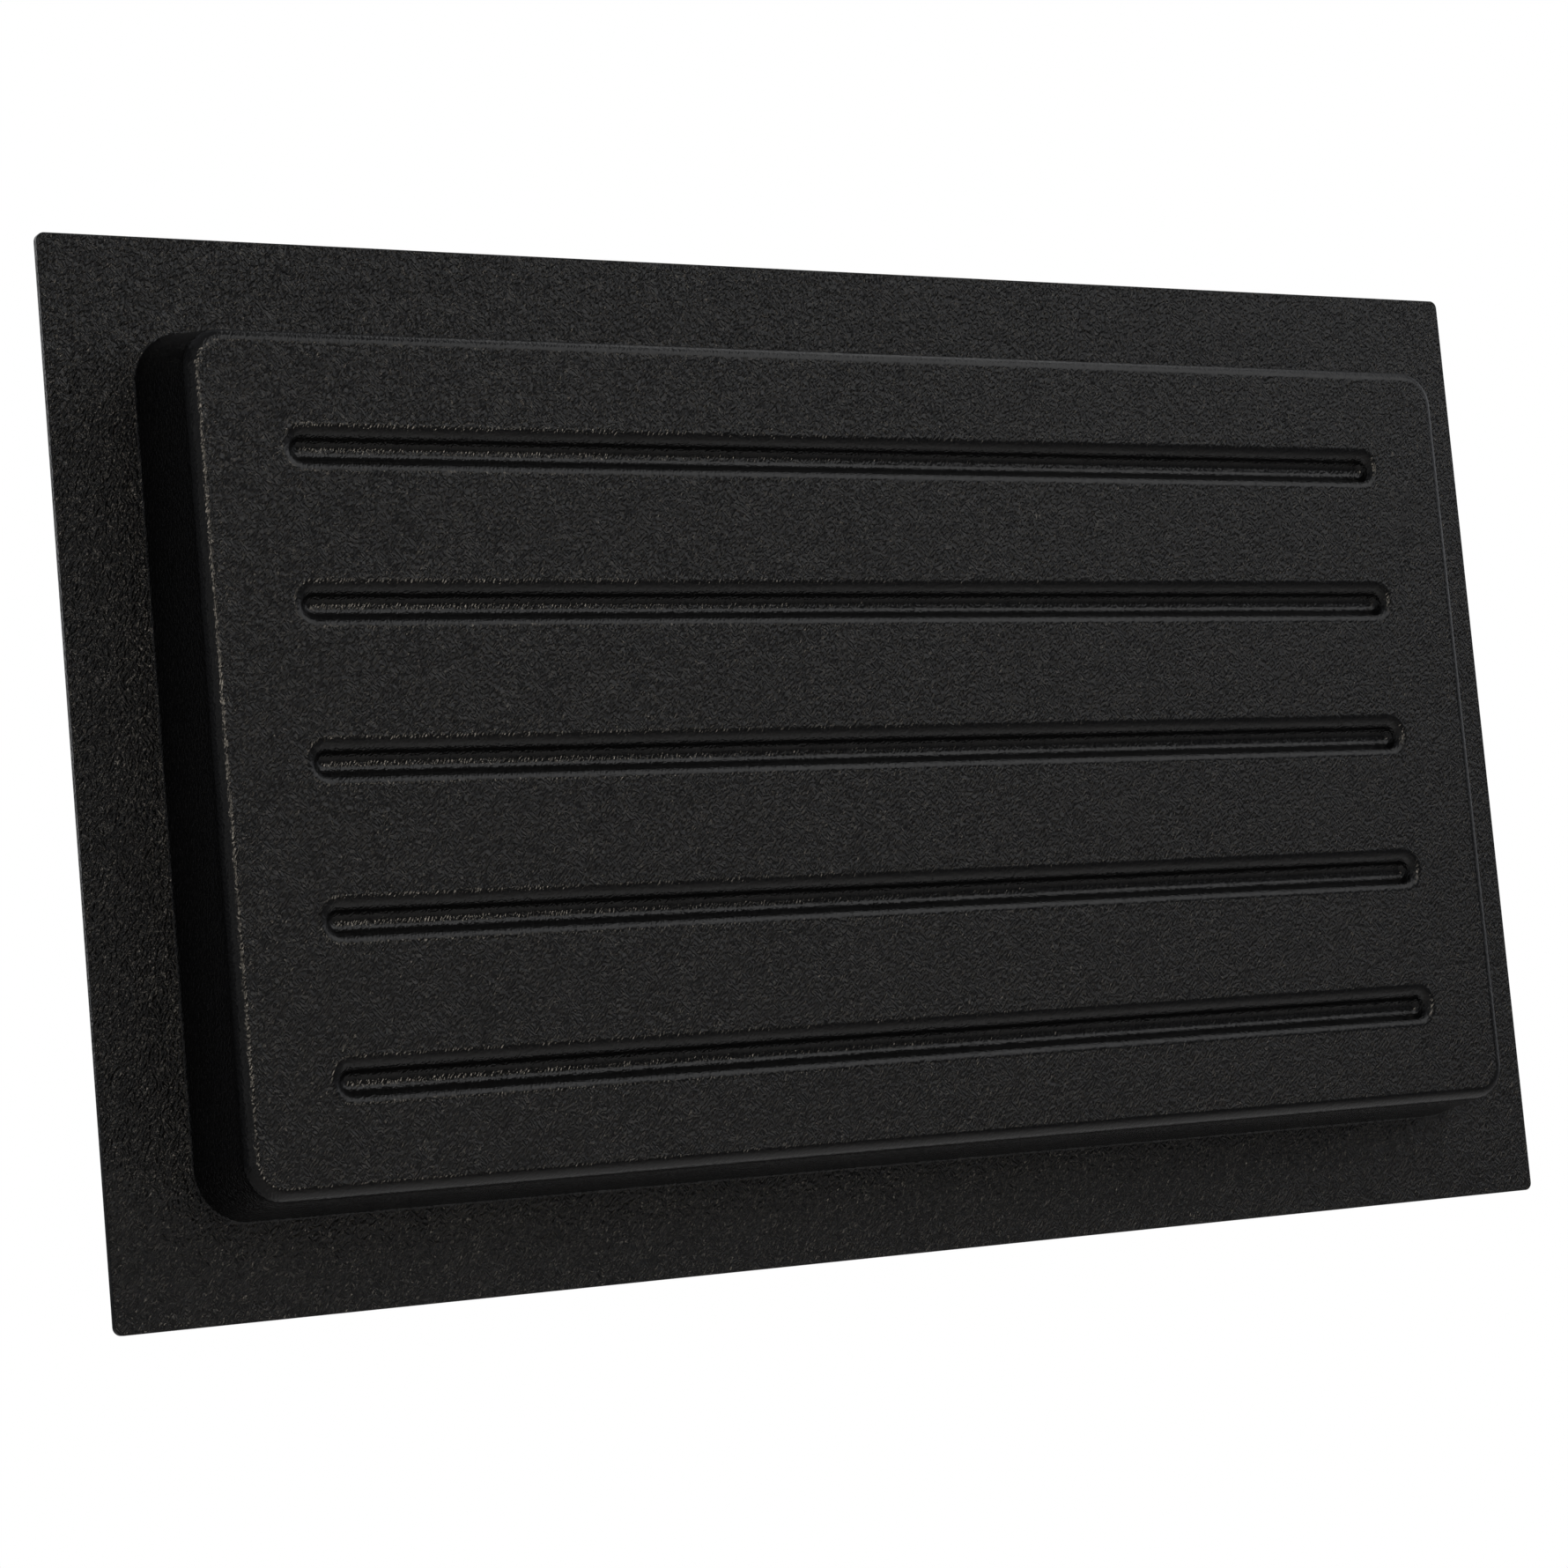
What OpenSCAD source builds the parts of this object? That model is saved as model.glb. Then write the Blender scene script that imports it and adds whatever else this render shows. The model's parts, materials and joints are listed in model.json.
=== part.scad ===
// Wall punch pad: a formed plastic cover over foam and plywood, hung on two wall rails.
// Frame: X to the right, Z up, and the struck face looks along -Y. The origin is on the
// wall plane, at the centre of the four wall-screw holes. All sizes are in millimetres.
// Sub-parts are drawn lying on their backs, with X to the right, Y up and Z towards the
// front, and stand_up() turns them upright.

/* [Flange] */
// Width of the flange
flange_w = 508; // [490:1:540]
// Height of the flange
flange_h = 305; // [290:1:330]
// Corner radius of the flange
flange_corner_r = 2.5; // [1:0.5:8]
// Thickness of the formed sheet
skin = 2.4; // [1.8:0.1:2.8]

/* [Raised box] */
// Width of the raised box where it leaves the flange
base_w = 456; // [450:1:462]
// Height of the raised box where it leaves the flange
base_h = 250; // [246:1:256]
// How far the face stands in front of the flange
rise = 27; // [26.5:0.1:28]
// Draft angle of the four walls
draft = 10; // [8:0.5:11]
// Corner radius of the raised box at the flange
base_corner_r = 15.5; // [15:0.5:18]
// Radius of the rim between the walls and the face
rim_r = 3.5; // [3:0.1:4]
// Radius in the inside corner between the flange and the walls
root_r = 0.8; // [0.4:0.1:1.5]

/* [Grooves] */
// Number of grooves across the face
groove_count = 5; // [1:1:5]
// Distance from one groove to the next
groove_pitch = 44.2; // [40:0.1:46]
// How far the middle groove sits below the middle of the face
groove_low = 0.7; // [0:0.1:2]
// Length of a groove, measured at the face
groove_l = 394; // [200:1:395]
// Width of a groove, measured at the face
groove_w = 13.4; // [12.8:0.1:15]
// Depth of a groove
groove_depth = 4.2; // [3.7:0.1:4.2]
// Slope of a groove's walls from the face
groove_slope = 60; // [52:1:60]
// Radius of a groove's lips
lip_r = 3.9; // [2.6:0.1:4]
// Radius between a groove's walls and floor
floor_r = 2.9; // [1.6:0.1:3]

/* [Filling] */
// Thickness of the backing board
board_t = 6; // [5:0.5:6.5]
// Thickness of the battens and of the core foam between them
core_t = 8; // [7.5:0.5:8.5]
// Width of the battens
batten_w = 24; // [20:1:28]

/* [Hangers] */
// Depth from the wall to the back of the board
recess = 6.4; // [6.2:0.1:6.6]
// Thickness of the rails and clips
leaf = 1.6; // [1.4:0.1:1.6]
// Length of a wall rail
rail_l = 430; // [425:1:440]
// Sideways distance between a rail's screw holes
rail_hole_spacing = 406.4; // [300:0.1:410]
// Distance between the screw holes of the upper rail and those of the lower rail
rail_spacing = 100; // [96:1:104]
// Radius of the wall-screw holes
rail_hole_r = 2.5; // [2:0.1:3]
// Length of a hanger clip
clip_l = 60; // [50:1:70]
// Distance from the middle of the pad to the middle of a clip
clip_x = 150; // [140:1:155]

/* [Seals and bearing pads] */
// Thickness of the foam tape behind the flange
seal_t = 1.6; // [1.2:0.1:2]
// Width of the foam tape
seal_w = 15; // [10:1:17]
// Distance from the flange's edge to the tape
seal_inset = 4; // [2:0.5:5]
// Width of a bearing pad
bearing_w = 40; // [30:1:42]
// Height of a bearing pad
bearing_h = 22; // [16:1:22]

/* [Hidden] */
$fn = 48;
// Points along an arc of a section
arc_steps = 8;
// How far solids that are cut or joined run into each other
lap = 1;

// Depths, measured forwards from the wall
flange_front = seal_t + skin;
face_front = flange_front + rise;
face_back = face_front - skin;
board_front = recess + board_t;
core_front = board_front + core_t;

// Raised box
wall_turn = 90 - draft;
face_inset = rise * tan(draft);
root_x = base_corner_r + root_r * tan(wall_turn / 2);
rim_x = base_corner_r - face_inset - rim_r * tan(wall_turn / 2);
ring_inner = rim_x - 2;
ring_outer = root_x + 5;

// Grooves: the straight part of a wall, and half the flat floor
lip_drop = (lip_r + floor_r) * (1 - cos(groove_slope));
wall_run = (groove_depth - lip_drop) / tan(groove_slope);
floor_half = groove_w / 2 - (lip_r + floor_r) * sin(groove_slope) - wall_run;
groove_ys = [for (i = [0:groove_count - 1]) (i - (groove_count - 1) / 2) * groove_pitch - groove_low];

// Filling: each layer clears the drafted walls
board_gap = 0.5;
inner_at_board = skin / cos(draft) + (board_front - flange_front) * tan(draft) + board_gap;
inner_at_core = skin / cos(draft) + (core_front - flange_front) * tan(draft) + board_gap;
inner_at_face = skin / cos(draft) + (face_back - flange_front) * tan(draft) + rim_r / 2;
board_w = base_w - 2 * inner_at_board;
board_h = base_h - 2 * inner_at_board;
board_corner_r = base_corner_r - inner_at_board;
frame_w = base_w - 2 * inner_at_core;
frame_h = base_h - 2 * inner_at_core;
frame_corner_r = base_corner_r - inner_at_core;
foam_w = base_w - 2 * inner_at_face;
foam_h = base_h - 2 * inner_at_face;
foam_corner_r = base_corner_r - inner_at_face;
core_w = frame_w - 2 * batten_w;
core_h = frame_h - 2 * batten_w;
channel_gap = 0.4;

// Wood screws, board to battens
wood_r = 1.6;
wood_head_r = 3.4;
wood_head_h = 1.9;
wood_l = 11.5;
wood_tip = 3;
wood_tip_r = 0.2;
wood_drive_w = 3.2;
wood_drive_h = 1.2;
wood_gap = 0.05;
wood_spots = concat(
    [for (x = [-190, -65, 65, 190], y = [-1, 1]) [x, y * (frame_h - batten_w) / 2]],
    [for (x = [-1, 1], y = [-45, 45]) [x * (frame_w - batten_w) / 2, y]]
);

// Hangers: heights are measured from a rail's screw holes
rail_base_h = 20;
rail_leg_top = 20;
clip_gap = 0.2;
clip_rest = 0.1;
clip_drop = 7;
clip_base_h = 20;
clip_hole_y = rail_leg_top + clip_rest + leaf + clip_base_h / 2;
clip_hole_dx = 20;
rail_ys = [rail_spacing / 2, -rail_spacing / 2];

// Clip screws and tee nuts
clip_screw_r = 2;
clip_head_r = 4;
clip_head_h = 2.2;
clip_head_taper = 0.6;
clip_drive_w = 4;
clip_drive_h = 1.3;
clip_screw_l = 8;
nut_gap = 0.05;
nut_flange_r = 7.5;
nut_flange_t = 1.2;
nut_barrel_r = 3;
nut_barrel_l = 5;
clip_screw_spots = [
    for (y = rail_ys, x = [-clip_x, clip_x], dx = [-clip_hole_dx, clip_hole_dx])
        [x + dx, y + clip_hole_y]
];

bearing_spots = [for (x = [-160, 0, 160], y = [-95, 10, 106]) [x, y]];
bearing_corner_r = 3;

// Helpers

function arc(c, r, from, to) = [
    for (i = [0:arc_steps])
        let (a = from + (to - from) * i / arc_steps)
            c + r * [cos(a), sin(a)]
];

module stand_up() {
    rotate([90, 0, 0]) children();
}

module rounded_rect(w, h, r) {
    square([w, h - 2 * r], center = true);
    square([w - 2 * r, h], center = true);
    for (x = [-1, 1], y = [-1, 1]) {
        translate([x * (w / 2 - r), y * (h / 2 - r)]) circle(r);
    }
}

module stadium(l, w) {
    square([l - w, w], center = true);
    for (x = [-1, 1]) {
        translate([x * (l - w) / 2, 0]) circle(w / 2);
    }
}

// An upright block from one depth to another, over a flat outline
module layer(back, front) {
    translate([0, 0, back]) linear_extrude(front - back) children();
}

// Carries a section round the raised box, with the section's x measured from the
// centre of a corner
module box_sweep() {
    for (k = [0:3]) {
        long = base_w / 2 - base_corner_r;
        short = base_h / 2 - base_corner_r;
        a = k % 2 == 0 ? long : short;
        b = k % 2 == 0 ? short : long;
        rotate([0, 0, 90 * k]) {
            translate([a, b, 0]) rotate_extrude(angle = 90) children();
            translate([a, b, 0]) rotate([90, 0, 0]) linear_extrude(2 * b) children();
        }
    }
}

// Carries half a section along one groove and round its two ends
module groove_sweep() {
    half = (groove_l - groove_w) / 2;
    for (turn = [0, 180]) {
        rotate([0, 0, turn]) translate([half, 0, 0]) rotate([0, 0, -90])
            rotate_extrude(angle = 180) children();
    }
    translate([-half, 0, 0]) rotate([90, 0, 90]) linear_extrude(2 * half) {
        children();
        mirror([1, 0]) children();
    }
}

// Section through the wall of the raised box: flange, root, wall, rim, face
module wall_section() {
    root_c = [root_x, flange_front + root_r];
    rim_c = [rim_x, face_front - rim_r];
    polygon(concat(
        [[ring_outer, flange_front]],
        arc(root_c, root_r, 270, 180 + draft),
        arc(rim_c, rim_r, draft, 90),
        [[ring_inner, face_front], [ring_inner, face_back]],
        arc(rim_c, rim_r - skin, 90, draft),
        arc(root_c, root_r + skin, 180 + draft, 270),
        [[ring_outer, seal_t]]
    ));
}

// Half a section through a groove: face, lip, wall, floor
module groove_section() {
    lip_c = [groove_w / 2, face_front - lip_r];
    floor_c = [floor_half, face_front - groove_depth + floor_r];
    polygon(concat(
        [[groove_w / 2 + lap, face_front]],
        arc(lip_c, lip_r, 90, 90 + groove_slope),
        arc(floor_c, floor_r, groove_slope - 90, -90),
        [[0, face_front - groove_depth], [0, face_back - groove_depth]],
        arc(floor_c, floor_r + skin, -90, groove_slope - 90),
        arc(lip_c, lip_r - skin, 90 + groove_slope, 90),
        [[groove_w / 2 + lap, face_back]]
    ));
}

// Cover and filling

module cover_shell() {
    grow = 2 * (ring_outer - lap - base_corner_r);
    shrink = 2 * (base_corner_r - ring_inner - lap);
    color("#1d1d1f") stand_up() {
        layer(seal_t, flange_front) difference() {
            rounded_rect(flange_w, flange_h, flange_corner_r);
            rounded_rect(base_w + grow, base_h + grow, ring_outer - lap);
        }
        box_sweep() wall_section();
        layer(face_back, face_front) difference() {
            rounded_rect(base_w - shrink, base_h - shrink, ring_inner + lap);
            for (y = groove_ys) {
                translate([0, y]) stadium(groove_l, groove_w);
            }
        }
        for (y = groove_ys) {
            translate([0, y, 0]) groove_sweep() groove_section();
        }
    }
}

module strike_foam() {
    color("#4a4d52") stand_up() difference() {
        layer(core_front, face_back) rounded_rect(foam_w, foam_h, foam_corner_r);
        layer(face_back - groove_depth - channel_gap, face_front) {
            for (y = groove_ys) {
                translate([0, y]) stadium(groove_l + channel_gap, groove_w + channel_gap);
            }
        }
    }
}

module core_foam() {
    color("#6d6f73") stand_up() difference() {
        layer(board_front, core_front) square([core_w, core_h], center = true);
        for (p = clip_screw_spots) {
            translate([p.x, p.y, board_front - lap])
                cylinder(r = nut_flange_r + channel_gap, h = nut_flange_t + channel_gap + lap);
        }
    }
}

module wood_screw_bore() {
    cylinder(r1 = wood_head_r + wood_gap, r2 = wood_r + wood_gap, h = wood_head_h);
    cylinder(r = wood_r + wood_gap, h = wood_l + wood_gap);
}

// The part of the batten frame inside an outline, drilled for the board's screws
module batten() {
    color("#b98f5d") stand_up() difference() {
        layer(board_front, core_front) intersection() {
            rounded_rect(frame_w, frame_h, frame_corner_r);
            children();
        }
        for (p = wood_spots) {
            translate([p.x, p.y, recess]) wood_screw_bore();
        }
    }
}

module batten_long(side) {
    batten() translate([0, side * (core_h + batten_w) / 2])
        square([frame_w, batten_w], center = true);
}

module batten_short(side) {
    batten() translate([side * (core_w + batten_w) / 2, 0])
        square([batten_w, core_h], center = true);
}

module batten_top() {
    batten_long(1);
}

module batten_bottom() {
    batten_long(-1);
}

module batten_left() {
    batten_short(-1);
}

module batten_right() {
    batten_short(1);
}

module backing_board() {
    color("#c9a36b") stand_up() difference() {
        layer(recess, board_front) rounded_rect(board_w, board_h, board_corner_r);
        for (p = wood_spots) {
            translate([p.x, p.y, recess]) wood_screw_bore();
        }
        for (p = clip_screw_spots) {
            translate([p.x, p.y, recess - lap])
                cylinder(r = nut_barrel_r + nut_gap, h = board_t + 2 * lap);
        }
    }
}

// A cross recess cut into a screw head that looks towards the wall
module cross_recess(width, depth) {
    for (turn = [0, 90]) {
        rotate([0, 0, turn]) translate([0, 0, depth / 2])
            cube([width, width / 4, depth], center = true);
    }
}

module board_screws() {
    color("#8c8a84") stand_up() {
        for (p = wood_spots) {
            translate([p.x, p.y, recess]) difference() {
                union() {
                    cylinder(r1 = wood_head_r, r2 = wood_r, h = wood_head_h);
                    cylinder(r = wood_r, h = wood_l - wood_tip);
                    translate([0, 0, wood_l - wood_tip])
                        cylinder(r1 = wood_r, r2 = wood_tip_r, h = wood_tip);
                }
                cross_recess(wood_drive_w, wood_drive_h);
            }
        }
    }
}

// Hangers

module wall_rail(y) {
    color("#c2c5c8") stand_up() translate([0, y, 0]) difference() {
        translate([-rail_l / 2, 0, 0]) rotate([90, 0, 90]) linear_extrude(rail_l) polygon([
            [-rail_base_h / 2, 0],
            [rail_base_h / 2 + leaf, 0],
            [rail_base_h / 2 + leaf, 2 * leaf],
            [rail_leg_top, 2 * leaf],
            [rail_leg_top, 3 * leaf],
            [rail_base_h / 2, 3 * leaf],
            [rail_base_h / 2, leaf],
            [-rail_base_h / 2, leaf]
        ]);
        for (x = [-1, 1]) {
            translate([x * rail_hole_spacing / 2, 0, -lap]) cylinder(r = rail_hole_r, h = leaf + 2 * lap);
        }
    }
}

module wall_rail_upper() {
    wall_rail(rail_ys[0]);
}

module wall_rail_lower() {
    wall_rail(rail_ys[1]);
}

module hanger_clip(x, y) {
    web = rail_leg_top + clip_rest;
    hook_back = leaf - clip_gap;
    hook_front = 2 * leaf - clip_gap;
    color("#c2c5c8") stand_up() translate([x, y, 0]) difference() {
        translate([-clip_l / 2, 0, 0]) rotate([90, 0, 90]) linear_extrude(clip_l) polygon([
            [web - clip_drop, hook_back],
            [web + leaf, hook_back],
            [web + leaf, recess - leaf],
            [web + leaf + clip_base_h, recess - leaf],
            [web + leaf + clip_base_h, recess],
            [web, recess],
            [web, hook_front],
            [web - clip_drop, hook_front]
        ]);
        for (dx = [-1, 1]) {
            translate([dx * clip_hole_dx, clip_hole_y, recess - leaf - lap])
                cylinder(r = clip_screw_r + nut_gap, h = leaf + 2 * lap);
        }
    }
}

module clip_upper_left() {
    hanger_clip(-clip_x, rail_ys[0]);
}

module clip_upper_right() {
    hanger_clip(clip_x, rail_ys[0]);
}

module clip_lower_left() {
    hanger_clip(-clip_x, rail_ys[1]);
}

module clip_lower_right() {
    hanger_clip(clip_x, rail_ys[1]);
}

module clip_screws() {
    color("#9a9a98") stand_up() {
        for (p = clip_screw_spots) {
            translate([p.x, p.y, recess - leaf]) {
                cylinder(r = clip_screw_r, h = clip_screw_l);
                translate([0, 0, -clip_head_h]) difference() {
                    cylinder(r1 = clip_head_r - clip_head_taper, r2 = clip_head_r, h = clip_head_h);
                    cross_recess(clip_drive_w, clip_drive_h);
                }
            }
        }
    }
}

module tee_nuts() {
    color("#a8a59c") stand_up() {
        for (p = clip_screw_spots) {
            translate([p.x, p.y, board_front]) difference() {
                union() {
                    cylinder(r = nut_flange_r, h = nut_flange_t);
                    translate([0, 0, -nut_barrel_l]) cylinder(r = nut_barrel_r, h = nut_barrel_l);
                }
                translate([0, 0, -nut_barrel_l - lap])
                    cylinder(r = clip_screw_r + nut_gap, h = nut_barrel_l + nut_flange_t + 2 * lap);
            }
        }
    }
}

// Seals and bearing pads

module bearing_pads() {
    color("#2a2a2a") stand_up() layer(0, recess) {
        for (p = bearing_spots) {
            translate(p) rounded_rect(bearing_w, bearing_h, bearing_corner_r);
        }
    }
}

module seal_long(side) {
    color("#38383a") stand_up() layer(0, seal_t)
        translate([0, side * (flange_h / 2 - seal_inset - seal_w / 2)])
            square([flange_w - 2 * seal_inset, seal_w], center = true);
}

module seal_short(side) {
    color("#38383a") stand_up() layer(0, seal_t)
        translate([side * (flange_w / 2 - seal_inset - seal_w / 2), 0])
            square([seal_w, flange_h - 2 * seal_inset - 2 * seal_w], center = true);
}

module seal_top() {
    seal_long(1);
}

module seal_bottom() {
    seal_long(-1);
}

module seal_left() {
    seal_short(-1);
}

module seal_right() {
    seal_short(1);
}

cover_shell();
strike_foam();
core_foam();
batten_top();
batten_bottom();
batten_left();
batten_right();
backing_board();
board_screws();
clip_upper_left();
clip_upper_right();
clip_lower_left();
clip_lower_right();
clip_screws();
tee_nuts();
wall_rail_upper();
wall_rail_lower();
bearing_pads();
seal_top();
seal_bottom();
seal_left();
seal_right();
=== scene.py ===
"""Looks of a wall punch pad: a grained black formed cover over foam and a board, on hidden hangers."""
import json
import math

import bmesh
import bpy
from mathutils import Matrix, Vector, geometry, noise


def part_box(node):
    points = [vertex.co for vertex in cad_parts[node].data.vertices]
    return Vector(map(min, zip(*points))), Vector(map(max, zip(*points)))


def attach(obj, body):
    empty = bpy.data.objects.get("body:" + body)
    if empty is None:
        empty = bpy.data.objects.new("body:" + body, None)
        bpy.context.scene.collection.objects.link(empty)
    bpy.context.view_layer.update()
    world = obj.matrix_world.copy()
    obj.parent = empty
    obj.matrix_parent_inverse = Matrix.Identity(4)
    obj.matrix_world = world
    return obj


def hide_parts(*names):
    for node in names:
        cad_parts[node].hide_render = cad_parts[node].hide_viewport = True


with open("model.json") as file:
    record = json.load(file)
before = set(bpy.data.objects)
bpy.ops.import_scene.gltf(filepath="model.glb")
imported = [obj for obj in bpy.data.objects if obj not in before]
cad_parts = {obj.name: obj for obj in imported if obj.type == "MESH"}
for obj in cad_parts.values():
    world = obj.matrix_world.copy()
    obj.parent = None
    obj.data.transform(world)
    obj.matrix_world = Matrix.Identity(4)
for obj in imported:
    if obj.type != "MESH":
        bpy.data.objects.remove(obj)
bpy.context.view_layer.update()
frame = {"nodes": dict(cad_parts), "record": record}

MM = 0.001
NODES = frame["nodes"]

# Cover, in millimetres: the same driving sizes as the CAD model
SKIN = 2.4
BASE_W, BASE_H, RISE = 456.0, 250.0, 27.0
DRAFT = math.radians(10)
BASE_CORNER_R, RIM_R, ROOT_R = 15.5, 3.5, 0.8
FLANGE_CORNER_R, EDGE_R = 2.5, 0.3
GROOVE_COUNT, GROOVE_PITCH, GROOVE_LOW = 5, 44.2, 0.7
GROOVE_L, GROOVE_W, GROOVE_DEPTH = 394.0, 13.4, 4.2
GROOVE_SLOPE = math.radians(60)
LIP_R, FLOOR_R = 3.9, 2.9
# The upper side of a groove is rounder than its lower side, by this much on each radius
LIP_SOFTER, FLOOR_SOFTER = 0.9, 0.3

shell_low, shell_high = (Vector(c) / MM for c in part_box("cover_shell"))
FLANGE_W = shell_high.x - shell_low.x
FLANGE_H = shell_high.z - shell_low.z
FLANGE_BACK = -shell_high.y
FLANGE_FRONT = FLANGE_BACK + SKIN
FACE_FRONT = FLANGE_FRONT + RISE
FACE_BACK = FACE_FRONT - SKIN


# ---------------------------------------------------------------- camera

CAMERA_PLACE = Vector((-0.6659, -1.0294, -0.1263))
CAMERA_LOOK = Vector((0.5258, 0.8446, 0.1009)).normalized()
CAMERA_UP = Vector((0.0234, -0.1329, 0.9908))
LENS, SENSOR = 91.96, 36.0
SHIFT_X, SHIFT_Y = 0.0022, -0.0084


def make_camera():
    """The photograph's view: from the left, a little below the middle of the pad."""
    side = CAMERA_LOOK.cross(CAMERA_UP).normalized()
    turn = Matrix((side, side.cross(CAMERA_LOOK), -CAMERA_LOOK)).transposed()
    data = bpy.data.cameras.new("camera")
    data.lens, data.sensor_width = LENS, SENSOR
    data.shift_x, data.shift_y = SHIFT_X, SHIFT_Y
    cam = bpy.data.objects.new("camera", data)
    cam.matrix_world = Matrix.Translation(CAMERA_PLACE) @ turn.to_4x4()
    bpy.context.scene.collection.objects.link(cam)
    bpy.context.scene.camera = cam


make_camera()


# ---------------------------------------------------------------- mesh helpers

# Points closer together than this are taken as one
WELD = 0.002 * MM


class Sheet:
    """Collects points with their true normals, and the faces between loops of points."""

    def __init__(self):
        self.points, self.normals, self.grain, self.faces = [], [], [], []

    def add(self, point, normal, grain=1.0):
        """Keeps a point and returns its number."""
        self.points.append(point)
        self.normals.append(normal)
        self.grain.append(grain)
        return len(self.points) - 1

    def bridge(self, a, b):
        """Joins two loops of as many points by a band of faces."""
        n = len(a)
        for i in range(n):
            j = (i + 1) % n
            self.faces.append((a[i], a[j], b[j], b[i]))

    def chain(self, loops):
        """Joins each loop to the next."""
        for a, b in zip(loops, loops[1:]):
            self.bridge(a, b)

    def build(self, name):
        """Makes the object, with the amount of grain as a point attribute."""
        mesh = bpy.data.meshes.new(name)
        mesh.from_pydata([Vector(p) * MM for p in self.points], [], self.faces)
        layer = mesh.attributes.new("grain", "FLOAT", "POINT")
        layer.data.foreach_set("value", self.grain)
        normals = mesh.attributes.new("true_normal", "FLOAT_VECTOR", "POINT")
        normals.data.foreach_set("vector", [c for n in self.normals for c in n])
        obj = bpy.data.objects.new(name, mesh)
        bpy.context.scene.collection.objects.link(obj)
        clean(mesh)
        return obj


def clean(mesh):
    """Welds points that coincide, turns every face outwards and sets the true normals."""
    bm = bmesh.new()
    bm.from_mesh(mesh)
    bmesh.ops.remove_doubles(bm, verts=bm.verts, dist=WELD)
    bmesh.ops.dissolve_degenerate(bm, edges=bm.edges, dist=WELD / 2)
    bmesh.ops.recalc_face_normals(bm, faces=bm.faces)
    for face in bm.faces:
        face.smooth = True
    bm.to_mesh(mesh)
    bm.free()
    normals = [Vector(v.vector) for v in mesh.attributes["true_normal"].data]
    mesh.normals_split_custom_set_from_vertices(normals)
    mesh.attributes.remove(mesh.attributes["true_normal"])


# Steps round each corner and along each side of a rounded rectangle
CORNER_STEPS, LONG_STEPS, SHORT_STEPS = 20, 56, 32


def box_loop(half_w, half_h, r):
    """Points round a rounded rectangle with the outward direction at each, anticlockwise."""
    out = []
    centres = [(1, 1), (-1, 1), (-1, -1), (1, -1)]
    for k, (sx, sz) in enumerate(centres):
        cx, cz = sx * (half_w - r), sz * (half_h - r)
        for i in range(CORNER_STEPS + 1):
            a = math.pi / 2 * (k + i / CORNER_STEPS)
            d = (math.cos(a), math.sin(a))
            out.append((cx + r * d[0], cz + r * d[1], d))
        x, z, d = out[-1]
        next_x, next_z = centres[(k + 1) % 4]
        end_x, end_z = next_x * (half_w - r) + r * d[0], next_z * (half_h - r) + r * d[1]
        steps = LONG_STEPS if k % 2 == 0 else SHORT_STEPS
        for i in range(1, steps):
            t = i / steps
            out.append((x + (end_x - x) * t, z + (end_z - z) * t, d))
    return out


# Steps round each end and along each side of a groove
END_STEPS, RUN_STEPS = 28, 72


def groove_loop(u, z0):
    """Points round a groove at the distance u from its middle line, anticlockwise."""
    half = (GROOVE_L - GROOVE_W) / 2
    out = []
    for side in (1, -1):
        for i in range(END_STEPS + 1):
            a = math.pi * (i / END_STEPS - 0.5)
            d = (side * math.cos(a), side * math.sin(a))
            out.append((side * half + u * d[0], z0 + u * d[1], d))
        d = out[-1][2]
        for i in range(1, RUN_STEPS):
            t = i / RUN_STEPS
            out.append((side * half * (1 - 2 * t), z0 + u * d[1], d))
    return out


def tilted(d, tilt):
    """A normal turned by tilt from the front towards the outward direction d."""
    return (math.sin(tilt) * d[0], -math.cos(tilt), math.sin(tilt) * d[1])


def ring(sheet, outline, depth, tilt, grain=1.0):
    """Adds a loop at a depth, with its normals tilted outwards."""
    return [sheet.add((x, -depth, z), tilted(d, tilt), grain) for x, z, d in outline]


def groove_ring(sheet, z0, upper, lower, flip):
    """Adds the loop of a groove that passes through a step of its upper and of its lower side."""
    half, lean = (upper[0] + lower[0]) / 2, (upper[0] - lower[0]) / 2
    ids = []
    for x, z, d in groove_loop(half, z0 + lean):
        depth = lower[1] + (upper[1] - lower[1]) * (1 + d[1]) / 2
        ids.append(sheet.add((x, -depth, z), tilted(d, upper[2] + flip), upper[3]))
    return ids


def arc(cu, cz, r, start, stop, steps):
    """Points on an arc of a section, each with its angle."""
    out = []
    for i in range(steps + 1):
        a = start + (stop - start) * i / steps
        out.append((cu + r * math.cos(a), cz + r * math.sin(a), a))
    return out


# Pitch of the points inside a flat, and how far they keep from a groove or a pocket
GRID = 9.0
GRID_MARGIN = GRID * 0.45
# The kind of triangulation that leaves holes open, and the distance at which it joins points
OPEN_HOLES, JOIN = 2, 1e-4


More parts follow.
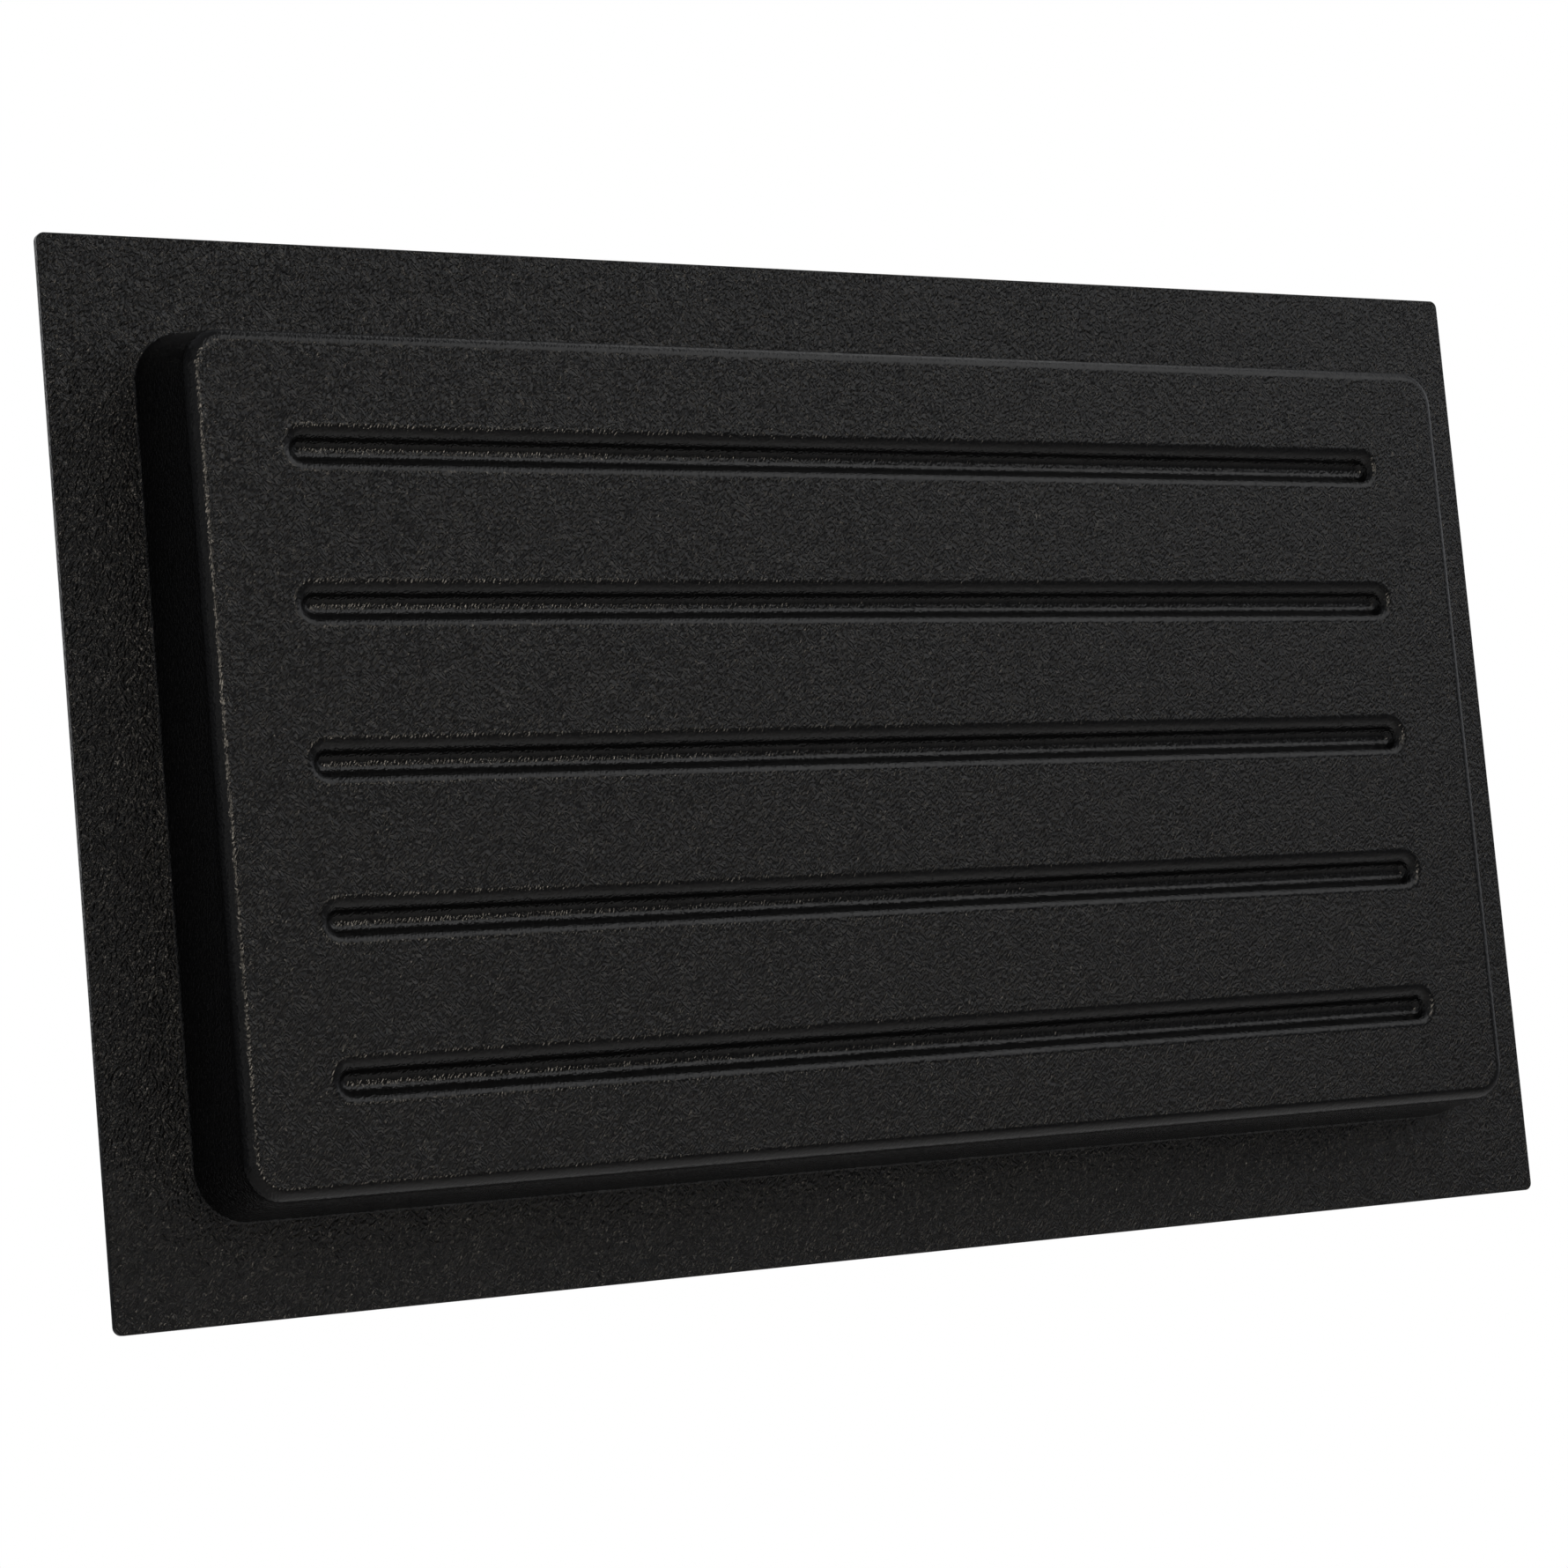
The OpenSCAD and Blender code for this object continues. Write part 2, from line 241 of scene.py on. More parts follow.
def fill_flat(sheet, outer, holes, depth, tilt, clear):
    """Triangulates the flat between an outer loop and holes, with a grid of points inside.

    clear(x, z, margin) says whether a spot is further than margin from every hole."""
    loops = [outer] + holes
    ids = [i for loop in loops for i in loop]
    flat = [Vector((sheet.points[i][0], sheet.points[i][2])) for i in ids]
    edges, start = [], 0
    for loop in loops:
        n = len(loop)
        edges += [(start + i, start + (i + 1) % n) for i in range(n)]
        start += n
    right, top = max(p.x for p in flat), max(p.y for p in flat)
    columns, rows = int(2 * right / GRID), int(2 * top / GRID)
    grid = []
    for i in range(1, columns):
        for j in range(1, rows):
            x, z = right * (2 * i / columns - 1), top * (2 * j / rows - 1)
            if clear(x, z, GRID_MARGIN):
                grid.append(Vector((x, z)))
    normal = (0.0, -math.cos(tilt), 0.0)
    all_ids = ids + [sheet.add((p.x, -depth, p.y), normal) for p in grid]
    points, _, faces, origins, *_ = geometry.delaunay_2d_cdt(flat + grid, edges, [], OPEN_HOLES, JOIN)
    back = [all_ids[o[0]] if o else sheet.add((p.x, -depth, p.y), normal)
            for p, o in zip(points, origins)]
    for face in faces:
        middle = sum((points[i] for i in face), Vector((0, 0))) / len(face)
        if clear(middle.x, middle.y, 0.0):
            sheet.faces.append(tuple(back[i] for i in face))


# The rounds meet a flat in a narrow level band, so that its normals stay true
FLAT_MARGIN = 0.5


def clear_of_grooves(reach):
    """The test of fill_flat for a flat with grooves that are twice reach wide."""
    half = (GROOVE_L - GROOVE_W) / 2

    def clear(x, z, margin):
        dx = max(abs(x) - half, 0.0)
        return all(math.hypot(dx, z - z0) > reach + margin for z0 in groove_heights())

    return clear


def always_clear(x, z, margin):
    """The test of fill_flat for a flat without holes."""
    return True


def groove_heights():
    """The heights of the grooves' middle lines."""
    return [(i - (GROOVE_COUNT - 1) / 2) * GROOVE_PITCH - GROOVE_LOW for i in range(GROOVE_COUNT)]


# ---------------------------------------------------------------- cover

# How strong the grain is where the sheet is stretched or bent, against 1 on the flats
NEAR_ROOT_GRAIN, ROOT_GRAIN, WALL_GRAIN, RIM_GRAIN = 0.9, 0.7, 0.6, 0.25
GROOVE_GRAIN, EDGE_GRAIN = 0.3, 0.2

# The width of the flange's innermost band
NEAR_ROOT = 0.8

RIM_STEPS, ROOT_STEPS, WALL_STEPS, FLANGE_STEPS = 14, 5, 8, 5
LIP_STEPS, FLOOR_STEPS, EDGE_STEPS = 10, 7, 4


def wall_section(offset):
    """(distance from the corner's centre, depth, tilt, grain) from the flange to the face.

    offset moves the section back by the sheet's thickness for the inner side."""
    turn = math.pi / 2 - DRAFT
    root_u = BASE_CORNER_R + ROOT_R * math.tan(turn / 2)
    root_z = FLANGE_FRONT + ROOT_R
    rim_u = BASE_CORNER_R - RISE * math.tan(DRAFT) - RIM_R * math.tan(turn / 2)
    rim_z = FACE_FRONT - RIM_R
    path = []
    for u, z, a in arc(root_u, root_z, ROOT_R + offset, -math.pi / 2, -math.pi + DRAFT, ROOT_STEPS):
        path.append((u, z, -(a + math.pi / 2), ROOT_GRAIN))
    rim = arc(rim_u, rim_z, RIM_R - offset, DRAFT, math.pi / 2, RIM_STEPS)
    (low_u, low_z), (high_u, high_z) = path[-1][:2], rim[0][:2]
    for i in range(1, WALL_STEPS):
        t = i / WALL_STEPS
        path.append((low_u + (high_u - low_u) * t, low_z + (high_z - low_z) * t, turn, WALL_GRAIN))
    return path + [(u, z, math.pi / 2 - a, RIM_GRAIN) for u, z, a in rim]


def groove_side(offset, softer):
    """(distance from the groove's middle, depth, tilt, grain) from the face down one side.

    softer is 1 for the upper side and -1 for the lower side."""
    lip_r, floor_r = LIP_R + softer * LIP_SOFTER, FLOOR_R + softer * FLOOR_SOFTER
    drop = (lip_r + floor_r) * (1 - math.cos(GROOVE_SLOPE))
    run = (GROOVE_DEPTH - drop) / math.tan(GROOVE_SLOPE)
    floor_u = GROOVE_W / 2 - (lip_r + floor_r) * math.sin(GROOVE_SLOPE) - run
    lip = arc(GROOVE_W / 2, FACE_FRONT - lip_r, lip_r - offset,
              math.pi / 2, math.pi / 2 + GROOVE_SLOPE, LIP_STEPS)
    floor = arc(floor_u, FACE_FRONT - GROOVE_DEPTH + floor_r, floor_r + offset,
                GROOVE_SLOPE - math.pi / 2, -math.pi / 2, FLOOR_STEPS)
    path = [(u, z, math.pi / 2 - a, GROOVE_GRAIN) for u, z, a in lip]
    return path + [(u, z, -(a + math.pi / 2), GROOVE_GRAIN) for u, z, a in floor]


def edge_loops(sheet, size, corner_r, front, back, edge_r):
    """The eased edge of a plate, from its front flat round to its back flat."""
    loops = []
    for half_turn, start in ((0, front - edge_r), (1, back + edge_r)):
        for i in range(EDGE_STEPS + 1):
            a = math.pi / 2 * (half_turn + i / EDGE_STEPS)
            inset = edge_r * (1 - math.sin(a))
            outline = box_loop(size[0] / 2 - inset, size[1] / 2 - inset, corner_r - inset)
            grain = EDGE_GRAIN if loops else 1.0
            loops.append(ring(sheet, outline, start + edge_r * math.cos(a), a, grain))
    return loops


def side_loops(sheet, offset, facing):
    """Flange, wall and rim of one side of the sheet; facing is 1 for the front, -1 for the back."""
    path = wall_section(offset)
    flange_depth = FLANGE_FRONT - offset
    flip = 0.0 if facing > 0 else math.pi

    def outline(u):
        """The loop at the distance u from the centres of the corners."""
        return box_loop(BASE_W / 2 - BASE_CORNER_R + u, BASE_H / 2 - BASE_CORNER_R + u, u)

    root_u = path[0][0]
    near = outline(root_u + NEAR_ROOT)
    edge = box_loop(FLANGE_W / 2 - EDGE_R, FLANGE_H / 2 - EDGE_R, FLANGE_CORNER_R - EDGE_R)
    loops = []
    for i in range(1, FLANGE_STEPS):
        t = i / FLANGE_STEPS
        mixed = [(e[0] + (n[0] - e[0]) * t, e[1] + (n[1] - e[1]) * t, n[2]) for e, n in zip(edge, near)]
        loops.append(ring(sheet, mixed, flange_depth, flip))
    loops.append(ring(sheet, near, flange_depth, flip))
    loops.append(ring(sheet, outline(root_u), flange_depth, flip, NEAR_ROOT_GRAIN))
    loops += [ring(sheet, outline(u), z, tilt + flip, grain) for u, z, tilt, grain in path[1:]]
    loops.append(ring(sheet, outline(path[-1][0] - FLAT_MARGIN), FACE_FRONT - offset, flip))
    return loops


def grooves(sheet, offset, facing):
    """The five grooves of one side; returns their outermost loops for the face to meet."""
    flip = 0.0 if facing > 0 else math.pi
    upper, lower = groove_side(offset, 1), groove_side(offset, -1)
    lean = (upper[-1][0] - lower[-1][0]) / 2
    upper.append((lean, *upper[-1][1:]))
    lower.append((-lean, *lower[-1][1:]))
    rims = []
    for z0 in groove_heights():
        loops = [ring(sheet, groove_loop(GROOVE_W / 2 + FLAT_MARGIN, z0), FACE_FRONT - offset, flip)]
        loops += [groove_ring(sheet, z0, *steps, flip) for steps in zip(upper, lower)]
        sheet.chain(loops)
        rims.append(loops[0])
    return rims


def make_cover():
    """The whole formed sheet: front side, edge and back side."""
    sheet = Sheet()
    edge = edge_loops(sheet, (FLANGE_W, FLANGE_H), FLANGE_CORNER_R, FLANGE_FRONT, FLANGE_BACK, EDGE_R)
    front = side_loops(sheet, 0.0, 1)
    back = side_loops(sheet, SKIN, -1)
    sheet.chain(front[::-1] + edge + back)
    clear = clear_of_grooves(GROOVE_W / 2 + FLAT_MARGIN)
    fill_flat(sheet, front[-1], grooves(sheet, 0.0, 1), FACE_FRONT, 0.0, clear)
    fill_flat(sheet, back[-1], grooves(sheet, SKIN, -1), FACE_BACK, math.pi, clear)
    return sheet.build("cover")


cover = make_cover()
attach(cover, "pad")
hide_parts("cover_shell")


# ---------------------------------------------------------------- foam

# How far a cut in the foam stands clear of what goes in it, how round its edges are, and how far
# its skin sinks at most
FOAM_GAP, FOAM_EDGE_R, FOAM_SINK = 0.4, 0.8, 0.2
# Scale of the noise that the skin sinks by, per metre
SINK_SCALE = 60
CORE_CORNER_R = 1.5
POCKET_STEPS, ROUND_STEPS = 4, 40
CLIPS = ["clip_upper_left", "clip_upper_right", "clip_lower_left", "clip_lower_right"]
CLIP_BASE_H, CLIP_HOLE_DX = 20.0, 20.0
NUT_FLANGE_R, NUT_FLANGE_T = 7.5, 1.2


def foam_space(node):
    """(width and height, front depth, back depth) of a foam layer's CAD solid."""
    low, high = (Vector(c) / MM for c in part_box(node))
    return (high.x - low.x, high.z - low.z), -low.y, -high.y


def pocket(sheet, outline, half, surface, floor):
    """A cut with a round rim and a round inside corner; outline(u) gives its loop at u.

    Returns the loop that the surface meets."""
    into = 1 if surface > floor else -1
    flat = 0.0 if into > 0 else math.pi
    inside_r = FOAM_EDGE_R / 2
    turns = [math.pi / 2 * i / POCKET_STEPS for i in range(POCKET_STEPS + 1)]
    loops = []
    for a in turns:
        u = half + FOAM_EDGE_R * (1 - math.sin(a))
        depth = surface - into * FOAM_EDGE_R * (1 - math.cos(a))
        loops.append(ring(sheet, outline(u), depth, flat - into * a))
    for a in turns:
        u = half - inside_r * (1 - math.cos(a))
        depth = floor + into * inside_r * (1 - math.sin(a))
        loops.append(ring(sheet, outline(u), depth, flat - into * (math.pi / 2 - a)))
    loops.append(ring(sheet, outline(0.0), floor, flat))
    sheet.chain(loops)
    return loops[0]


def soften(mesh):
    """Lets the skin of a foam block sink unevenly."""
    normals = [vertex.normal.copy() for vertex in mesh.vertices]
    for vertex, normal in zip(mesh.vertices, normals):
        sunk = 0.5 + 0.5 * noise.noise(vertex.co * SINK_SCALE)
        vertex.co -= normal * FOAM_SINK * MM * sunk


def add_foam(sheet, node):
    """Makes the foam layer that stands in for a CAD node."""
    foam = sheet.build(node.replace("_foam", "_layer"))
    soften(foam.data)
    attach(foam, "pad")
    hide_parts(node)
    return foam


def make_strike_layer():
    """The soft sheet behind the face, with a channel round each groove."""
    size, front, back = foam_space("strike_foam")
    corner_r = BASE_CORNER_R - (BASE_W - size[0]) / 2
    half = (GROOVE_W + FOAM_GAP) / 2
    sheet = Sheet()
    edge = edge_loops(sheet, size, corner_r, front, back, FOAM_EDGE_R)
    sheet.chain(edge)
    rims = [pocket(sheet, lambda u, z0=z0: groove_loop(u, z0), half, front, front - GROOVE_DEPTH - FOAM_GAP)
            for z0 in groove_heights()]
    fill_flat(sheet, edge[0], rims, front, 0.0, clear_of_grooves(half + FOAM_EDGE_R))
    fill_flat(sheet, edge[-1], [], back, math.pi, always_clear)
    return add_foam(sheet, "strike_foam")


def nut_spots():
    """Where the tee nuts sit: two to a clip, at the middle of its base."""
    spots = []
    for name in CLIPS:
        low, high = (Vector(c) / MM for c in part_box(name))
        middle = (low.x + high.x) / 2
        spots += [(middle + dx, high.z - CLIP_BASE_H / 2) for dx in (-CLIP_HOLE_DX, CLIP_HOLE_DX)]
    return spots


def round_loop(u, x0, z0):
    """Points round a circle, anticlockwise, with the outward direction at each."""
    turns = [2 * math.pi * i / ROUND_STEPS for i in range(ROUND_STEPS)]
    return [(x0 + u * math.cos(a), z0 + u * math.sin(a), (math.cos(a), math.sin(a))) for a in turns]


def make_core_layer():
    """The firm block inside the battens, with a pocket over each tee nut."""
    size, front, back = foam_space("core_foam")
    half = NUT_FLANGE_R + FOAM_GAP
    sheet = Sheet()
    edge = edge_loops(sheet, size, CORE_CORNER_R, front, back, FOAM_EDGE_R)
    sheet.chain(edge)
    spots = nut_spots()
    rims = [pocket(sheet, lambda u, x0=x0, z0=z0: round_loop(u, x0, z0), half, back,
                   back + NUT_FLANGE_T + FOAM_GAP) for x0, z0 in spots]

    def clear(x, z, margin):
        return all(math.hypot(x - x0, z - z0) > half + FOAM_EDGE_R + margin for x0, z0 in spots)

    fill_flat(sheet, edge[0], [], front, 0.0, always_clear)
    fill_flat(sheet, edge[-1], rims, back, math.pi, clear)
    return add_foam(sheet, "core_foam")


strike_layer = make_strike_layer()
core_layer = make_core_layer()


# ---------------------------------------------------------------- materials

class Nodes:
    """Short names for making and linking shader nodes."""

    def __init__(self, name):
        self.material = bpy.data.materials.new(name)
        self.material.use_nodes = True
        self.tree = self.material.node_tree
        self.shader = self.tree.nodes["Principled BSDF"]

    def node(self, kind, **values):
        """Adds a node with the given settings."""
        made = self.tree.nodes.new(kind)
        for key, value in values.items():
            setattr(made, key, value)
        return made

    def link(self, a, b):
        """Links the output a to the input b."""
        self.tree.links.new(a, b)

    def feed(self, socket, value):
        """Sets a socket to a constant, or links it."""
        if isinstance(value, (int, float, tuple)):
            socket.default_value = value
        else:
            self.link(value, socket)

    def place(self, scale, turn=(0, 0, 0), kind="POINT"):
        """Object coordinates, times scale and then turned; a TEXTURE is turned, then divided by scale."""
        coords = self.node("ShaderNodeTexCoord")
        mapping = self.node("ShaderNodeMapping", vector_type=kind)
        mapping.inputs["Scale"].default_value = scale
        mapping.inputs["Rotation"].default_value = turn
        self.link(coords.outputs["Object"], mapping.inputs["Vector"])
        return mapping.outputs["Vector"]

    def noise(self, vector, scale, detail=2.0, rough=0.5, distortion=0.0):
        """A noise texture over the vector."""
        made = self.node("ShaderNodeTexNoise")
        self.link(vector, made.inputs["Vector"])
        made.inputs["Scale"].default_value = scale
        made.inputs["Detail"].default_value = detail
        made.inputs["Roughness"].default_value = rough
        made.inputs["Distortion"].default_value = distortion
        return made

    def warp(self, vector, scale, reach):
        """The vector pushed about by a slow noise."""
        push = self.node("ShaderNodeVectorMath", operation="SCALE")
        self.link(self.noise(vector, scale).outputs["Color"], push.inputs[0])
        push.inputs["Scale"].default_value = reach
        moved = self.node("ShaderNodeVectorMath", operation="ADD")
        self.link(vector, moved.inputs[0])
        self.link(push.outputs[0], moved.inputs[1])
        return moved.outputs[0]

    def blend(self, amount, a, b):
        """Number a, towards number b by the amount."""
        made = self.node("ShaderNodeMix")
        self.feed(made.inputs[0], amount)
        self.feed(made.inputs[2], a)
        self.feed(made.inputs[3], b)
        return made.outputs[0]

    def mix_colours(self, amount, a, b, how="MIX"):
        """Colour a, towards colour b by the amount."""
        made = self.node("ShaderNodeMix", data_type="RGBA", blend_type=how)
        self.feed(made.inputs[0], amount)
        self.feed(made.inputs[6], a)
        self.feed(made.inputs[7], b)
        return made.outputs[2]

    def axes(self, vector):
        """The X, Y and Z of a vector."""
        made = self.node("ShaderNodeSeparateXYZ")
        self.link(vector, made.inputs[0])
        return made.outputs["X"], made.outputs["Y"], made.outputs["Z"]

    def stretched(self, vector, scale):
        """A place times scale."""
        made = self.node("ShaderNodeMapping")
        made.inputs["Scale"].default_value = scale
        self.link(vector, made.inputs["Vector"])
        return made.outputs["Vector"]

    def maths(self, operation, a, b=0.0):
        """The result of one operation on a and b."""
        made = self.node("ShaderNodeMath", operation=operation)
        self.feed(made.inputs[0], a)
        self.feed(made.inputs[1], b)
        return made.outputs[0]

    def span(self, value, low, high, out_low, out_high, smooth=False):
        """The value, taken from the range low to high to the range out_low to out_high."""
        made = self.node("ShaderNodeMapRange")
        if smooth:
            made.interpolation_type = "SMOOTHSTEP"
        self.feed(made.inputs["Value"], value)
        made.inputs["From Min"].default_value = low
        made.inputs["From Max"].default_value = high
        made.inputs["To Min"].default_value = out_low
        made.inputs["To Max"].default_value = out_high
        return made.outputs["Result"]

    def ramp(self, value, stops):
        """A colour for the value, from stops of (value, colour)."""
        made = self.node("ShaderNodeValToRGB")
        self.link(value, made.inputs["Fac"])
        spots = made.color_ramp.elements
        while len(spots) < len(stops):
            spots.new(0.5)
        for spot, (place, colour) in zip(spots, stops):
            spot.position = place
            spot.color = (*colour, 1)
        return made.outputs["Color"]

    def bump(self, height, distance, strength=1.0, under=None):
        """A normal with the height as its relief, laid over the normal under it."""
        made = self.node("ShaderNodeBump")
        made.inputs["Distance"].default_value = distance
        self.feed(made.inputs["Strength"], strength)
        self.link(height, made.inputs["Height"])
        if under is not None:
            self.link(under, made.inputs["Normal"])
        return made.outputs["Normal"]


# The grain's strokes and its relief, and the place scale that makes a noise scale count per millimetre
STROKE_W, STROKE_L, STROKE_LEAN = 0.00055, 0.0013, math.radians(30)
GRAIN_RELIEF = 0.0007
PER_MM = (1000, 1000, 1000)
WHOLE = (1, 1, 1)


def strokes(n, lean):
    """Smooth relief drawn out into short strokes, which lean to one side."""
    place = n.place((STROKE_W, STROKE_W, STROKE_L), (0, lean, 0), "TEXTURE")
    return n.noise(n.warp(place, 0.6, 1.2), 1.0, 0.0).outputs["Fac"]


def haircell_height(n):
    """Haircell grain: patches of short strokes that lean one way or the other."""
    patch = n.span(n.noise(n.place(PER_MM), 0.4, 1.0).outputs["Fac"], 0.55, 0.63, 0.0, 1.0)
    return n.blend(patch, strokes(n, STROKE_LEAN), strokes(n, -STROKE_LEAN))


def cover_material():
    """Black formed plastic: haircell grain on a satin skin that is smoother where it is stretched."""
    n = Nodes("cover_plastic")
    height = haircell_height(n)
    amount = n.node("ShaderNodeAttribute", attribute_name="grain")
    grain = n.bump(height, GRAIN_RELIEF, amount.outputs["Fac"])
    slow = n.noise(n.place(WHOLE), 14.0, 2.0)
    n.link(n.bump(slow.outputs["Fac"], 0.0004, 0.3, grain), n.shader.inputs["Normal"])
    mottling = n.noise(n.place(WHOLE), 60.0, 4.0, 0.6)
    n.link(n.ramp(mottling.outputs["Fac"], [(0.3, (0.002, 0.002, 0.0022)), (0.7, (0.003, 0.0029, 0.003))]),
           n.shader.inputs["Base Color"])
    rough = n.span(amount.outputs["Fac"], 0.1, 1.0, 0.19, 0.23)
    n.link(n.maths("ADD", rough, n.span(height, 0.2, 0.8, 0.03, -0.03)), n.shader.inputs["Roughness"])
    return n.material


cover.data.materials.append(cover_material())


def streaks(n, along, across):
    """Fine lines that run along X: a noise stretched from across to along millimetres."""
    return n.noise(n.place((1000 / along, 1000 / across, 1000 / across)), 1.0, 3.0, 0.6).outputs["Fac"]


def aluminium_material():
    """Mill-finish extrusion: die lines along its length, and a faint cloudiness."""
    n = Nodes("mill_aluminium")
    n.shader.inputs["Metallic"].default_value = 1.0
    lines = streaks(n, 160.0, 0.35)
    cloud = n.noise(n.place(WHOLE), 35.0, 3.0).outputs["Fac"]
    tone = n.blend(0.35, lines, cloud)
    n.link(n.ramp(tone, [(0.3, (0.56, 0.57, 0.585)), (0.7, (0.75, 0.755, 0.76))]),
           n.shader.inputs["Base Color"])
    n.link(n.span(tone, 0.3, 0.7, 0.42, 0.27), n.shader.inputs["Roughness"])
    n.link(n.bump(lines, 0.00006, 0.6), n.shader.inputs["Normal"])
    return n.material


def zinc_material():
    """Clear zinc plating, with a faint yellow cast in places."""
    n = Nodes("zinc_steel")
    n.shader.inputs["Metallic"].default_value = 1.0
    spangle = n.noise(n.place(PER_MM), 0.9, 4.0, 0.6).outputs["Fac"]
    cast = n.noise(n.place(PER_MM), 0.12, 1.0).outputs["Fac"]
    tone = n.blend(0.5, spangle, cast)
    n.link(n.ramp(tone, [(0.35, (0.5, 0.5, 0.52)), (0.5, (0.6, 0.59, 0.56)), (0.65, (0.62, 0.57, 0.45))]),
           n.shader.inputs["Base Color"])
    n.link(n.span(spangle, 0.2, 0.8, 0.24, 0.42), n.shader.inputs["Roughness"])
    n.link(n.bump(spangle, 0.00003, 0.7), n.shader.inputs["Normal"])
    return n.material


def fibres(n, place):
    """Fine fibres of wood that lie along X of the given place, in metres."""
    return n.noise(n.stretched(place, (30, 2600, 2600)), 1.0, 4.0, 0.65).outputs["Fac"]


# The gap between growth rings, and how far the pith line lies from the wall plane, in metres
RING_GAP, PITH_AWAY = 0.0028, 0.045


def batten_material(name, turn):
    """Softwood: growth rings round a pith line beside the batten, along X after the turn."""
    n = Nodes(name)
    place = n.place(WHOLE, (0, turn, 0))
    wander = n.noise(n.stretched(place, (5, 26, 26)), 1.0, 2.0).outputs["Fac"]
    _, y, z = n.axes(place)
    deep = n.maths("ADD", y, PITH_AWAY)
    radius = n.maths("SQRT", n.maths("ADD", n.maths("MULTIPLY", deep, deep), n.maths("MULTIPLY", z, z)))
    years = n.maths("ADD", n.maths("DIVIDE", radius, RING_GAP), n.maths("MULTIPLY", wander, 2.2))
    season = n.maths("FRACT", years)
    rings = n.ramp(season, [(0.0, (0.6, 0.43, 0.25)), (0.62, (0.55, 0.37, 0.2)),
                            (0.9, (0.37, 0.22, 0.11)), (1.0, (0.58, 0.41, 0.24))])
    grain = fibres(n, place)
    shade = n.ramp(grain, [(0.3, (0.62, 0.58, 0.54)), (0.65, (1.0, 1.0, 1.0))])
    n.link(n.mix_colours(0.5, rings, shade, "MULTIPLY"), n.shader.inputs["Base Color"])
    n.link(n.span(grain, 0.2, 0.8, 0.78, 0.6), n.shader.inputs["Roughness"])
    relief = n.maths("ADD", grain, n.maths("MULTIPLY", season, 0.3))
    n.link(n.bump(relief, 0.00012, 0.7), n.shader.inputs["Normal"])
    return n.material


# The share of a ply's thickness on each side that shows as a dark glue line
PLIES, GLUE_LINE = 5, 0.09


def ply_edge(n, place, grain, back, thickness):
    """The colour of a cut edge of the board: plies that change direction, with glue lines between."""
    _, y, _ = n.axes(place)
    depth = n.maths("ADD", n.maths("MULTIPLY", y, -1.0), -back)
    ply = n.maths("DIVIDE", depth, thickness / PLIES)
    within = n.maths("FRACT", ply)
    glue = n.maths("MAXIMUM", n.span(within, 0.0, GLUE_LINE, 1.0, 0.0),
                   n.span(within, 1.0 - GLUE_LINE, 1.0, 0.0, 1.0))
    cross = n.maths("GREATER_THAN", n.maths("FRACT", n.maths("MULTIPLY", ply, 0.5)), 0.5)
    speckle = n.noise(n.place((2200, 2200, 2200)), 1.0, 2.0).outputs["Fac"]
    tone = n.maths("SUBTRACT", n.blend(0.3, grain, speckle), n.maths("MULTIPLY", cross, 0.16))
    tone = n.maths("SUBTRACT", tone, n.maths("MULTIPLY", glue, 0.3))
    return n.ramp(tone, [(0.05, (0.14, 0.08, 0.045)), (0.35, (0.44, 0.29, 0.16)),
                         (0.62, (0.64, 0.48, 0.3))])


def plywood_material(back, thickness):
    """Birch plywood, with its faces and its edges; back is the depth of its rear face."""
    n = Nodes("plywood")
    place = n.place(WHOLE)
    figure = n.noise(n.place((9, 40, 40)), 1.0, 3.0, 0.5, 0.6).outputs["Fac"]
    grain = fibres(n, place)
    veneer = n.ramp(n.blend(0.45, figure, grain), [(0.32, (0.47, 0.32, 0.18)), (0.5, (0.6, 0.44, 0.27)),
                                                   (0.66, (0.68, 0.53, 0.35))])
    flecks = n.span(n.noise(n.place((130, 900, 900)), 1.0, 0.0).outputs["Fac"], 0.74, 0.8, 0.0, 0.45)
    face = n.mix_colours(flecks, veneer, (0.3, 0.18, 0.09, 1))
    _, toward_y, _ = n.axes(n.node("ShaderNodeTexCoord").outputs["Normal"])
    on_face = n.maths("GREATER_THAN", n.maths("ABSOLUTE", toward_y), 0.7)
    edge = ply_edge(n, place, grain, back, thickness)
    n.link(n.mix_colours(on_face, edge, face), n.shader.inputs["Base Color"])
    n.link(n.span(grain, 0.2, 0.8, 0.75, 0.55), n.shader.inputs["Roughness"])
    n.link(n.bump(grain, 0.00015, 0.6), n.shader.inputs["Normal"])
    return n.material


def rubber_material():
    """Moulded rubber: a fine matt skin with a little bloom."""
    n = Nodes("black_rubber")
    bloom = n.noise(n.place(WHOLE), 90.0, 4.0, 0.6).outputs["Fac"]
    skin = n.noise(n.place(PER_MM), 2.2, 3.0, 0.6).outputs["Fac"]
    n.link(n.ramp(bloom, [(0.35, (0.02, 0.02, 0.02)), (0.7, (0.045, 0.045, 0.043))]),
           n.shader.inputs["Base Color"])
    n.link(n.span(bloom, 0.3, 0.7, 0.62, 0.8), n.shader.inputs["Roughness"])
    n.link(n.bump(skin, 0.0001, 0.6), n.shader.inputs["Normal"])
    return n.material


